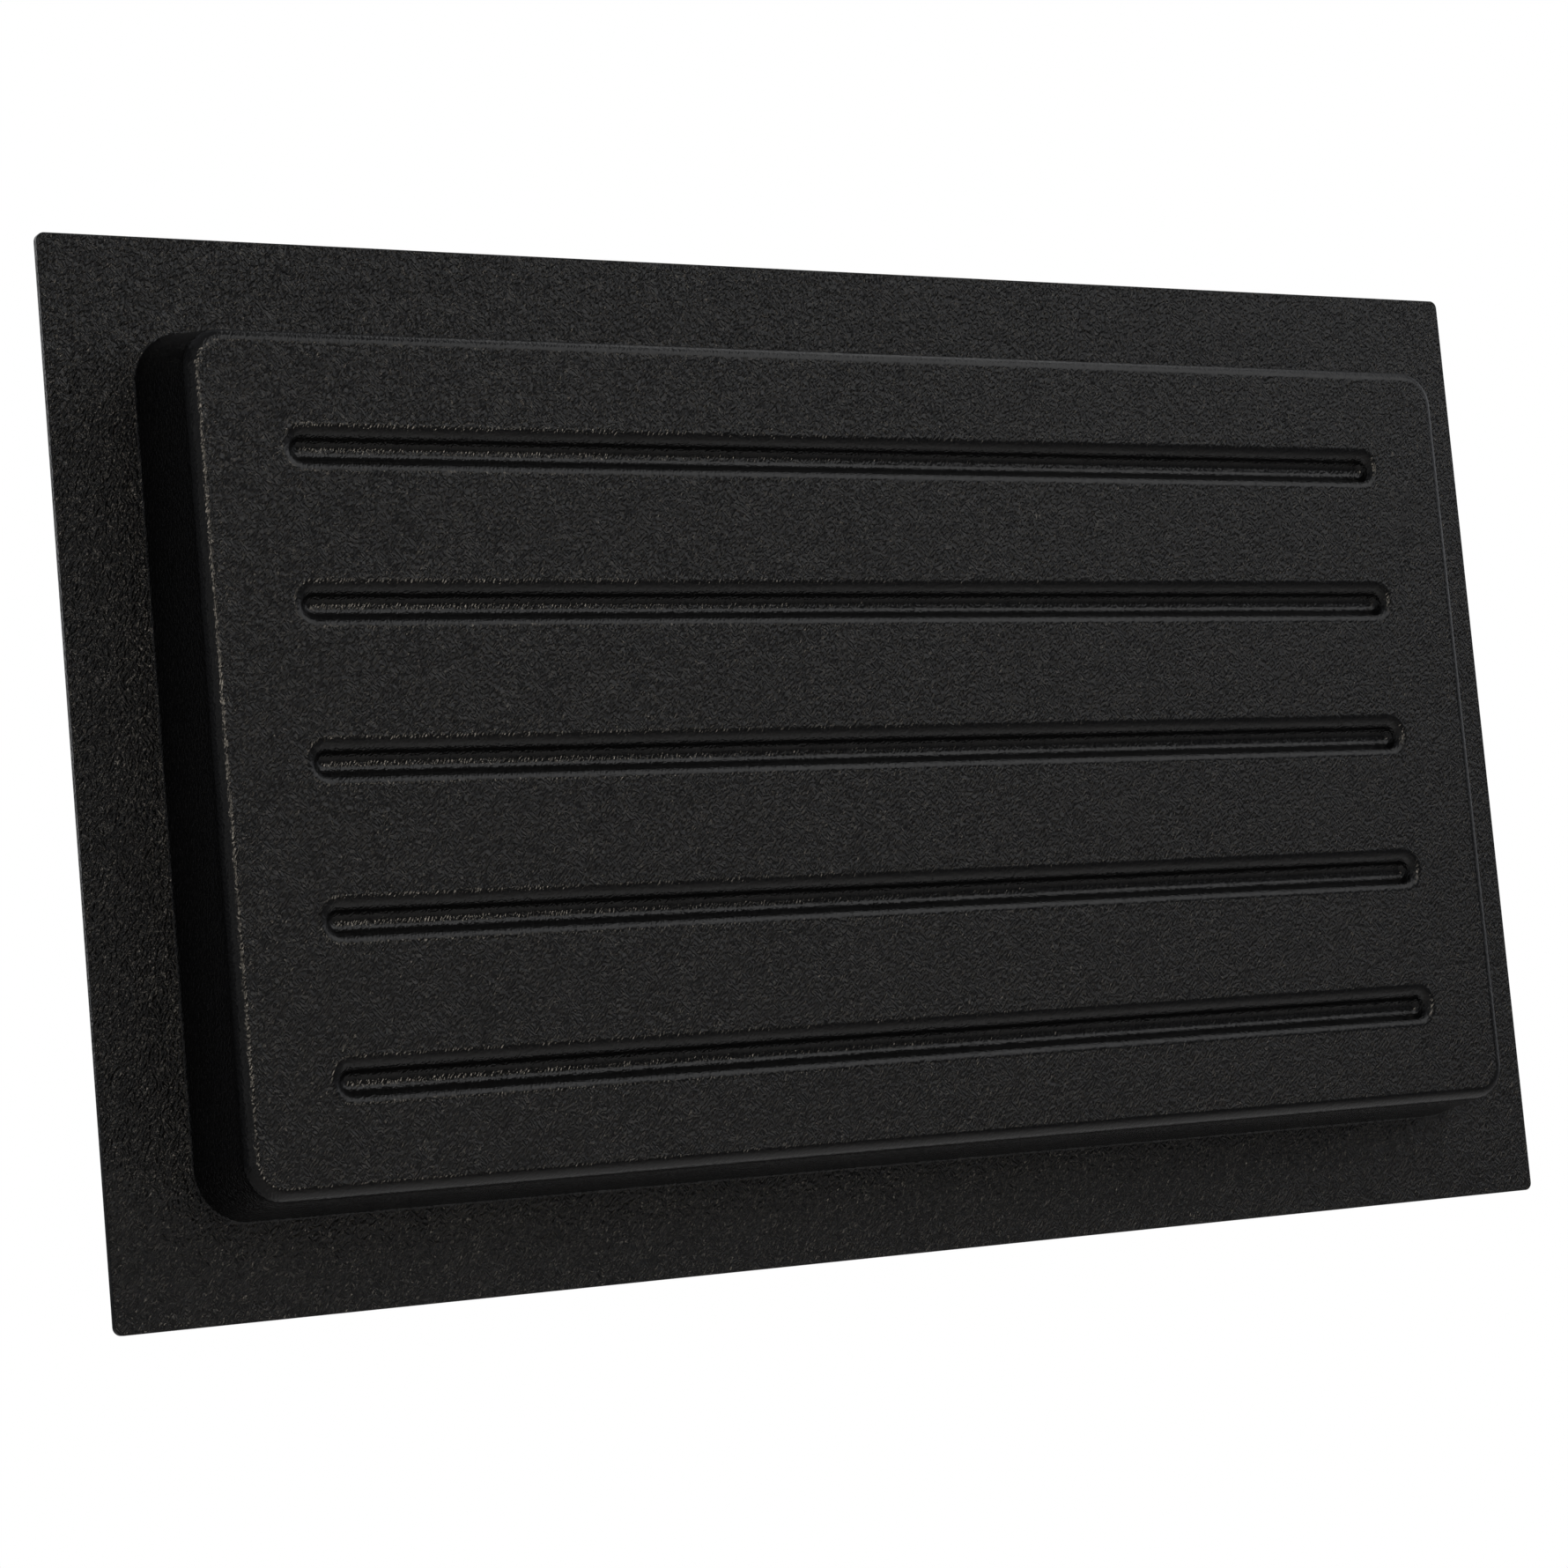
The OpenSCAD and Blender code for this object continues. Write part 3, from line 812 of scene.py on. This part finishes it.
def foam_material(name, cell, dark, light):
    """Cut closed-cell foam: open half-cells of the given size in millimetres, with painted shade darkening
    each cell towards its pit, and a slow drift in tone.
    """
    n = Nodes(name)
    cells = n.node("ShaderNodeTexVoronoi")
    n.link(n.place((1000 / cell, 1000 / cell, 1000 / cell)), cells.inputs["Vector"])
    cells.inputs["Scale"].default_value = 1.0
    drift = n.noise(n.place(WHOLE), 12.0, 3.0).outputs["Fac"]
    cell_relief_and_pit_shade = n.span(cells.outputs["Distance"], 0.15, 0.75, 0.0, 1.0, smooth=True)
    # Painted shade: the colour goes darker towards the pit of each cell, mixed with a slow drift in tone
    n.link(n.ramp(n.blend(0.4, cell_relief_and_pit_shade, drift), [(0.2, dark), (0.75, light)]), n.shader.inputs["Base Color"])
    n.link(n.span(cell_relief_and_pit_shade, 0.0, 1.0, 0.98, 0.86), n.shader.inputs["Roughness"])
    n.link(n.bump(cell_relief_and_pit_shade, 0.00035 * cell, 0.8), n.shader.inputs["Normal"])
    return n.material


# ---------------------------------------------------------------- finished CAD pieces

BODIES = frame["record"]["behaviour"]["bodies"]
BODY_OF = {node: body for body, nodes in BODIES.items() for node in nodes}
# Faces that turn by less than FLAT are joined, then edges that turn by more than SHARP are rounded
SHARP, FLAT = math.radians(30), math.radians(1)


def broad_normals(mesh):
    """Vertex normals that follow the larger faces, so that flats stay flat beside a small round."""
    sums = [Vector() for _ in mesh.vertices]
    for face in mesh.polygons:
        for index in face.vertices:
            sums[index] += face.normal * face.area
    mesh.normals_split_custom_set_from_vertices([n.normalized() for n in sums])


def finish(node, round_mm, material):
    """Stands a copy with rounded edges and a real surface in for a CAD piece."""
    mesh = NODES[node].data.copy()
    mesh.name = node + "_finished"
    bm = bmesh.new()
    bm.from_mesh(mesh)
    bmesh.ops.remove_doubles(bm, verts=bm.verts, dist=WELD / 2)
    bmesh.ops.dissolve_limit(bm, angle_limit=FLAT, verts=bm.verts, edges=bm.edges)
    sharp = [e for e in bm.edges if len(e.link_faces) == 2 and e.calc_face_angle() > SHARP]
    bmesh.ops.bevel(bm, geom=sharp, offset=round_mm * MM, segments=2, profile=0.5, affect="EDGES",
                    clamp_overlap=True)
    bmesh.ops.triangulate(bm, faces=[f for f in bm.faces if len(f.verts) > 4])
    for face in bm.faces:
        face.smooth = True
    bm.to_mesh(mesh)
    bm.free()
    mesh.materials.clear()
    mesh.materials.append(material)
    broad_normals(mesh)
    piece = bpy.data.objects.new(node + "_finished", mesh)
    bpy.context.scene.collection.objects.link(piece)
    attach(piece, BODY_OF[node])
    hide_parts(node)


board_low, board_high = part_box("backing_board")
# Material, how far the edges are rounded in millimetres, and the pieces
FINISHES = [
    (aluminium_material(), 0.3, [*CLIPS, "wall_rail_upper", "wall_rail_lower"]),
    (zinc_material(), 0.12, ["board_screws", "clip_screws", "tee_nuts"]),
    (plywood_material(-board_high[1], board_high[1] - board_low[1]), 0.25, ["backing_board"]),
    (batten_material("batten_wood_long", 0.0), 0.6, ["batten_top", "batten_bottom"]),
    (batten_material("batten_wood_short", math.radians(90)), 0.6, ["batten_left", "batten_right"]),
    (rubber_material(), 0.6, ["bearing_pads"]),
    (foam_material("foam_tape", 0.35, (0.025, 0.025, 0.026), (0.06, 0.06, 0.062)), 0.3,
     ["seal_top", "seal_bottom", "seal_left", "seal_right"]),
]
for material, round_mm, names in FINISHES:
    for name in names:
        finish(name, round_mm, material)

soft_foam = foam_material("soft_foam", 0.5, (0.05, 0.053, 0.06), (0.13, 0.137, 0.15))
firm_foam = foam_material("firm_foam", 0.7, (0.12, 0.123, 0.127), (0.27, 0.275, 0.28))
strike_layer.data.materials.append(soft_foam)
core_layer.data.materials.append(firm_foam)


# ---------------------------------------------------------------- studio

FLOOR_Z, FLOOR_HALF = -0.75, 6.0


def make_floor():
    """A pale floor, which the camera sees as plain white."""
    bm = bmesh.new()
    bmesh.ops.create_grid(bm, x_segments=1, y_segments=1, size=FLOOR_HALF)
    mesh = bpy.data.meshes.new("floor")
    bm.to_mesh(mesh)
    bm.free()
    obj = bpy.data.objects.new("floor", mesh)
    obj.location = (0, 0, FLOOR_Z)
    bpy.context.scene.collection.objects.link(obj)
    n = Nodes("floor")
    n.shader.inputs["Base Color"].default_value = (0.75, 0.735, 0.72, 1)
    n.shader.inputs["Roughness"].default_value = 0.9
    glow = n.node("ShaderNodeEmission")
    path = n.node("ShaderNodeLightPath")
    mix = n.node("ShaderNodeMixShader")
    n.link(path.outputs["Is Camera Ray"], mix.inputs[0])
    n.link(n.shader.outputs[0], mix.inputs[1])
    n.link(glow.outputs[0], mix.inputs[2])
    n.link(mix.outputs[0], n.tree.nodes["Material Output"].inputs["Surface"])
    mesh.materials.append(n.material)


# Brightness of the room from its left (0) to its right (1), as a surface of the pad sees it
ROOM = [(0.0, 0.12), (0.12, 0.045), (0.3, 0.15), (0.75, 0.064), (0.9, 0.16), (1.0, 0.4)]
# Its cool tint, and its strength below the low and above the high direction
ROOM_TINT = (0.97, 0.99, 1.04)
LOW_UP, LOW_STRENGTH, HIGH_UP, HIGH_STRENGTH = -0.1, 0.3, 0.22, 1.4


def make_world():
    """White to the camera; to the pad's surfaces, a room that is brighter on the right and higher up."""
    world = bpy.data.worlds.new("studio")
    bpy.context.scene.world = world
    world.use_nodes = True
    tree = world.node_tree
    room = tree.nodes["Background"]
    coords = tree.nodes.new("ShaderNodeTexCoord")
    split = tree.nodes.new("ShaderNodeSeparateXYZ")
    across = tree.nodes.new("ShaderNodeMapRange")
    across.inputs["From Min"].default_value = -1.0
    shade = tree.nodes.new("ShaderNodeValToRGB")
    while len(shade.color_ramp.elements) < len(ROOM):
        shade.color_ramp.elements.new(0.5)
    for spot, (place, grey) in zip(shade.color_ramp.elements, ROOM):
        spot.position = place
        spot.color = (*(c * grey for c in ROOM_TINT), 1)
    tree.links.new(coords.outputs["Generated"], split.inputs[0])
    tree.links.new(split.outputs["X"], across.inputs["Value"])
    tree.links.new(across.outputs["Result"], shade.inputs["Fac"])
    tree.links.new(shade.outputs["Color"], room.inputs["Color"])
    up = tree.nodes.new("ShaderNodeMapRange")
    up.inputs["From Min"].default_value, up.inputs["From Max"].default_value = LOW_UP, HIGH_UP
    up.inputs["To Min"].default_value, up.inputs["To Max"].default_value = LOW_STRENGTH, HIGH_STRENGTH
    tree.links.new(split.outputs["Z"], up.inputs["Value"])
    tree.links.new(up.outputs["Result"], room.inputs["Strength"])
    seen = tree.nodes.new("ShaderNodeBackground")
    seen.inputs["Color"].default_value = (1, 1, 1, 1)
    path = tree.nodes.new("ShaderNodeLightPath")
    mix = tree.nodes.new("ShaderNodeMixShader")
    tree.links.new(path.outputs["Is Camera Ray"], mix.inputs[0])
    tree.links.new(room.outputs[0], mix.inputs[1])
    tree.links.new(seen.outputs[0], mix.inputs[2])
    tree.links.new(mix.outputs[0], tree.nodes["World Output"].inputs["Surface"])


def softbox(name, place, aim, size, radiance, colour=(1, 1, 1)):
    """A rectangular area light of the given width and height and an even radiance."""
    data = bpy.data.lights.new(name, "AREA")
    data.shape = "RECTANGLE"
    data.size, data.size_y = size
    data.energy = radiance * math.pi * size[0] * size[1]
    data.color = colour
    obj = bpy.data.objects.new(name, data)
    obj.location = place
    obj.rotation_euler = (Vector(aim) - Vector(place)).to_track_quat("-Z", "Y").to_euler()
    bpy.context.scene.collection.objects.link(obj)


make_floor()
make_world()
softbox("key", (0.78, -1.02, 0.93), (0, 0, 0), (1.4, 1.15), 0.85)
softbox("front_strip", (0.12, -1.9, 0.28), (0, 0, 0.28), (0.2, 0.56), 12.0, (1.0, 0.9, 0.76))
softbox("front_glow", (-0.5, -1.9, 0.0), (0, 0, 0), (1.4, 1.2), 0.12)
softbox("low_glow", (0.5, 0.1, -0.74), (0.5, 0.1, 0), (1.4, 1.3), 0.22)
softbox("above", (0.75, 0.1, 1.3), (0, 0, 0), (0.9, 0.6), 0.6)
softbox("left", (-1.5, -1.1, 0.1), (0, 0, 0), (0.9, 1.2), 0.22)
softbox("behind", (0.0, 1.6, 0.5), (0, 0, 0), (1.6, 1.0), 0.7)

bpy.context.scene.view_settings.view_transform = "Standard"
